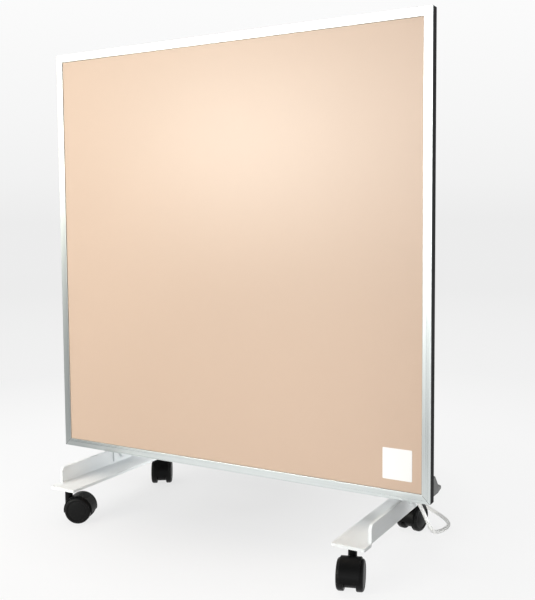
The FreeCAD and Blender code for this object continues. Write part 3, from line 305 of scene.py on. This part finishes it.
def coil_points():
    """Two flat layers: wound in, up over half a turn, and out again."""
    last = 2 * COIL_TURNS_A_LAYER + CLIMB_TURN
    points = []
    for k in range(round(last * POINTS_A_TURN) + 1):
        turn = k / POINTS_A_TURN
        climbed = min(max((turn - COIL_TURNS_A_LAYER) / CLIMB_TURN, 0), 1)
        after = max(turn - COIL_TURNS_A_LAYER - CLIMB_TURN, 0)
        radius = COIL_OUT_R - COIL_PITCH * min(turn, COIL_TURNS_A_LAYER) + COIL_PITCH * after
        radius -= COIL_PITCH * CLIMB_TURN / math.pi * math.sin(math.pi * climbed)
        a = -math.pi / 2 - 2 * math.pi * turn
        z = COIL_LOW_Z + COIL_PITCH * climbed * climbed * (3 - 2 * climbed)
        points.append((COIL_AT[0] + radius * math.cos(a), COIL_AT[1] + radius * math.sin(a), z))
    return points


def make_cord(materials):
    curve = bpy.data.curves.new("mains_cord", "CURVE")
    curve.dimensions = "3D"
    curve.bevel_depth = CORD_D / 2 * MM
    curve.bevel_resolution = CORD_ROUND_STEPS
    curve.use_fill_caps = True
    spline = curve.splines.new("NURBS")
    route = LEAD_ROUTE + coil_points() + TAIL_ROUTE
    spline.points.add(len(route) - 1)
    for point, place in zip(spline.points, route):
        point.co = (*(c * MM for c in place), 1)
    spline.order_u = CORD_CURVE_ORDER
    spline.use_endpoint_u = True
    spline.resolution_u = STEPS_A_POINT
    cord = bpy.data.objects.new("mains_cord", curve)
    bpy.context.collection.objects.link(cord)
    paint(cord, materials["white_pvc"])
    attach(cord, BODY)
    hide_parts("cord_lead", "cord_coil", "cord_tail")


# Trim on the panel: sticker, a bead of painted corner shade and joint lines

def add_trim(name, mesh, material):
    """Turns a closed mesh into a piece that rides on the heater."""
    bmesh.ops.recalc_face_normals(mesh, faces=mesh.faces)
    data = bpy.data.meshes.new(name)
    mesh.to_mesh(data)
    mesh.free()
    piece = bpy.data.objects.new(name, data)
    bpy.context.collection.objects.link(piece)
    paint(piece, material)
    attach(piece, BODY)


def join_rings(mesh, here, after):
    for k in range(len(here)):
        m = (k + 1) % len(here)
        mesh.faces.new((here[k], here[m], after[m], after[k]))


def frame_corners(inner):
    """Corners of the frame's inner or outer edge, each with the directions into the panel."""
    near, far = (1, 0) if inner else (0, 1)
    left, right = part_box("bezel_left")[near].x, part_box("bezel_right")[far].x
    low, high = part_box("bezel_bottom")[near].z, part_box("bezel_top")[far].z
    return (left, low, 1, 1), (right, low, -1, 1), (right, high, -1, -1), (left, high, 1, -1)


def make_sticker(materials):
    """A blank white square with round corners on the lower right of the plate."""
    face_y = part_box("front_plate")[0].y
    mesh = bmesh.new()
    outline = []
    for quarter, (sx, sz) in enumerate(((1, 1), (-1, 1), (-1, -1), (1, -1))):
        for step in range(STEPS_A_CORNER + 1):
            a = math.pi / 2 * (quarter + step / STEPS_A_CORNER)
            x = STICKER_MID[0] + sx * (STICKER_W / 2 - STICKER_R) + STICKER_R * math.cos(a)
            z = STICKER_MID[1] + sz * (STICKER_H / 2 - STICKER_R) + STICKER_R * math.sin(a)
            outline.append(mesh.verts.new((x * MM, face_y, z * MM)))
    face = mesh.faces.new(outline)
    raised = bmesh.ops.extrude_face_region(mesh, geom=[face])
    lifted = [v for v in raised["geom"] if isinstance(v, bmesh.types.BMVert)]
    bmesh.ops.translate(mesh, verts=lifted, vec=(0, -STICKER_T * MM, 0))
    add_trim("sticker", mesh, materials["sticker"])


def make_corner_shade(materials):
    """A grey-brown bead of painted shade in the corner where the frame's lip meets the plate."""
    plate_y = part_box("front_plate")[0].y
    wide, tall = CORNER_SHADE_W * MM, CORNER_SHADE_H * MM
    section = ((0, 0), (wide, 0), (wide / 3, tall / 2), (0, tall))
    mesh = bmesh.new()
    rings = [[mesh.verts.new((x + ix * a, plate_y - b, z + iz * a)) for a, b in section]
             for x, z, ix, iz in frame_corners(inner=True)]
    for here, after in zip(rings, rings[1:] + rings[:1]):
        join_rings(mesh, here, after)
    add_trim("plate_corner_shade", mesh, materials["corner_shade"])


def make_mitre_lines(materials):
    """A thin dark strip along each mitre, from the frame's outer edge to its inner one."""
    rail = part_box("bezel_left")
    out, into = MITRE_FROM_EDGE * MM, (rail[1].x - rail[0].x) - MITRE_FROM_EDGE * MM
    half = MITRE_W / 2 * MM / math.sqrt(2)
    outline = ((out - half, out + half), (out + half, out - half),
               (into + half, into - half), (into - half, into + half))
    face_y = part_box("bezel_bottom")[0].y
    mesh = bmesh.new()
    for x, z, ix, iz in frame_corners(inner=False):
        back, front = ([mesh.verts.new((x + ix * a, y, z + iz * b)) for a, b in outline]
                       for y in (face_y, face_y - MITRE_T * MM))
        mesh.faces.new(back)
        mesh.faces.new(front)
        join_rings(mesh, back, front)
    add_trim("mitre_lines", mesh, materials["mitre_gap"])


# Floor, background and light

def seen_directly(tree):
    """1 for rays from the camera, a mirror or glass, 0 for soft light."""
    path = tree.nodes.new("ShaderNodeLightPath")
    total = path.outputs["Is Camera Ray"]
    for name in ("Is Glossy Ray", "Is Transmission Ray"):
        larger = tree.nodes.new("ShaderNodeMath")
        larger.operation = "MAXIMUM"
        tree.links.new(total, larger.inputs[0])
        tree.links.new(path.outputs[name], larger.inputs[1])
        total = larger.outputs["Value"]
    return total


def grey_ramp(tree, stops, reach):
    """A ramp of greys over a value from 0 to reach."""
    share = tree.nodes.new("ShaderNodeMath")
    share.operation = "DIVIDE"
    share.inputs[1].default_value = reach
    ramp = tree.nodes.new("ShaderNodeValToRGB")
    for extra in stops[2:]:
        ramp.color_ramp.elements.new(extra[0] / reach)
    for element, (at, grey) in zip(ramp.color_ramp.elements, stops):
        element.position = at / reach
        element.color = (grey, grey, grey, 1)
    tree.links.new(share.outputs["Value"], ramp.inputs["Fac"])
    return share.inputs[0], ramp.outputs["Color"]


def make_floor():
    """A pale disc with a painted shadow: it glows greyer round the object and meets the background's
    colour far away.
    """
    bpy.ops.mesh.primitive_circle_add(vertices=FLOOR_SIDES, radius=FLOOR_R, fill_type="NGON",
                                      location=PAINTED_SHADOW_AT)
    floor = bpy.context.object
    floor.name = "floor"
    material = bpy.data.materials.new("pale_floor_painted_shadow")
    material.use_nodes = True
    tree = material.node_tree
    tree.nodes.remove(tree.nodes["Principled BSDF"])
    place = tree.nodes.new("ShaderNodeTexCoord").outputs["Object"]
    length = tree.nodes.new("ShaderNodeVectorMath")
    length.operation = "LENGTH"
    # Painted shadow: the glow's grey darkens towards the middle under the heater
    distance, grey = grey_ramp(tree, FLOOR_SHADOW_GREYS, FLOOR_REACH)
    fade = tree.nodes.new("ShaderNodeMapRange")
    for name, value in FLOOR_FADE.items():
        fade.inputs[name].default_value = value
    diffuse = tree.nodes.new("ShaderNodeBsdfDiffuse")
    diffuse.inputs["Color"].default_value = (FLOOR_PAINT, FLOOR_PAINT, FLOOR_PAINT, 1)
    glow = tree.nodes.new("ShaderNodeEmission")
    amount = tree.nodes.new("ShaderNodeMath")
    amount.operation = "MULTIPLY"
    mix = tree.nodes.new("ShaderNodeMixShader")
    tree.links.new(place, length.inputs[0])
    tree.links.new(length.outputs["Value"], distance)
    tree.links.new(length.outputs["Value"], fade.inputs["Value"])
    tree.links.new(fade.outputs["Result"], amount.inputs[1])
    tree.links.new(grey, glow.inputs["Color"])
    tree.links.new(seen_directly(tree), amount.inputs[0])
    tree.links.new(amount.outputs["Value"], mix.inputs["Fac"])
    tree.links.new(diffuse.outputs["BSDF"], mix.inputs[1])
    tree.links.new(glow.outputs["Emission"], mix.inputs[2])
    tree.links.new(mix.outputs["Shader"], tree.nodes["Material Output"].inputs["Surface"])
    paint(floor, material)


def make_world():
    """Pale background with a dark ceiling high above, and an even soft light."""
    world = bpy.data.worlds.new("studio")
    bpy.context.scene.world = world
    world.use_nodes = True
    tree = world.node_tree
    soft = tree.nodes["Background"]
    soft.inputs["Color"].default_value = (1, 1, 1, 1)
    soft.inputs["Strength"].default_value = SKY_LIGHT
    seen = tree.nodes.new("ShaderNodeBackground")
    direction = tree.nodes.new("ShaderNodeTexCoord").outputs["Generated"]
    split = tree.nodes.new("ShaderNodeSeparateXYZ")
    height, grey = grey_ramp(tree, SKY_GREYS, 1.0)
    mix = tree.nodes.new("ShaderNodeMixShader")
    tree.links.new(direction, split.inputs["Vector"])
    tree.links.new(split.outputs["Z"], height)
    tree.links.new(grey, seen.inputs["Color"])
    tree.links.new(seen_directly(tree), mix.inputs["Fac"])
    tree.links.new(soft.outputs["Background"], mix.inputs[1])
    tree.links.new(seen.outputs["Background"], mix.inputs[2])
    tree.links.new(mix.outputs["Shader"], tree.nodes["World Output"].inputs["Surface"])


def make_cards():
    """Cards that only gloss sees: they darken the lower rails' reflections."""
    for name, (grey, corners) in CARDS.items():
        mesh = bpy.data.meshes.new(name)
        mesh.from_pydata(corners, [], [range(len(corners))])
        card = bpy.data.objects.new(name, mesh)
        bpy.context.collection.objects.link(card)
        material = bpy.data.materials.new(name)
        material.use_nodes = True
        tree = material.node_tree
        glow = tree.nodes.new("ShaderNodeEmission")
        glow.inputs["Color"].default_value = (grey, grey, grey, 1)
        tree.links.new(glow.outputs["Emission"], tree.nodes["Material Output"].inputs["Surface"])
        paint(card, material)
        card.visible_camera = False
        card.visible_diffuse = False
        card.visible_shadow = False


def make_lamp(name, place, target, size, power, colour=(1, 1, 1), spread=180):
    data = bpy.data.lights.new(name, "AREA")
    data.shape = "RECTANGLE"
    data.size, data.size_y = size
    data.energy = power
    data.color = colour
    data.spread = math.radians(spread)
    lamp = bpy.data.objects.new(name, data)
    lamp.location = place
    lamp.rotation_euler = (Vector(target) - Vector(place)).to_track_quat("-Z", "Y").to_euler()
    bpy.context.collection.objects.link(lamp)


def make_studio():
    make_floor()
    make_world()
    make_cards()
    for name, lamp in LAMPS.items():
        make_lamp(name, **lamp)


make_camera()
looks = make_materials()
make_cord(looks)
dress_nodes(looks)
make_sticker(looks)
make_corner_shade(looks)
make_mitre_lines(looks)
make_studio()
bpy.context.scene.view_settings.view_transform = "Standard"
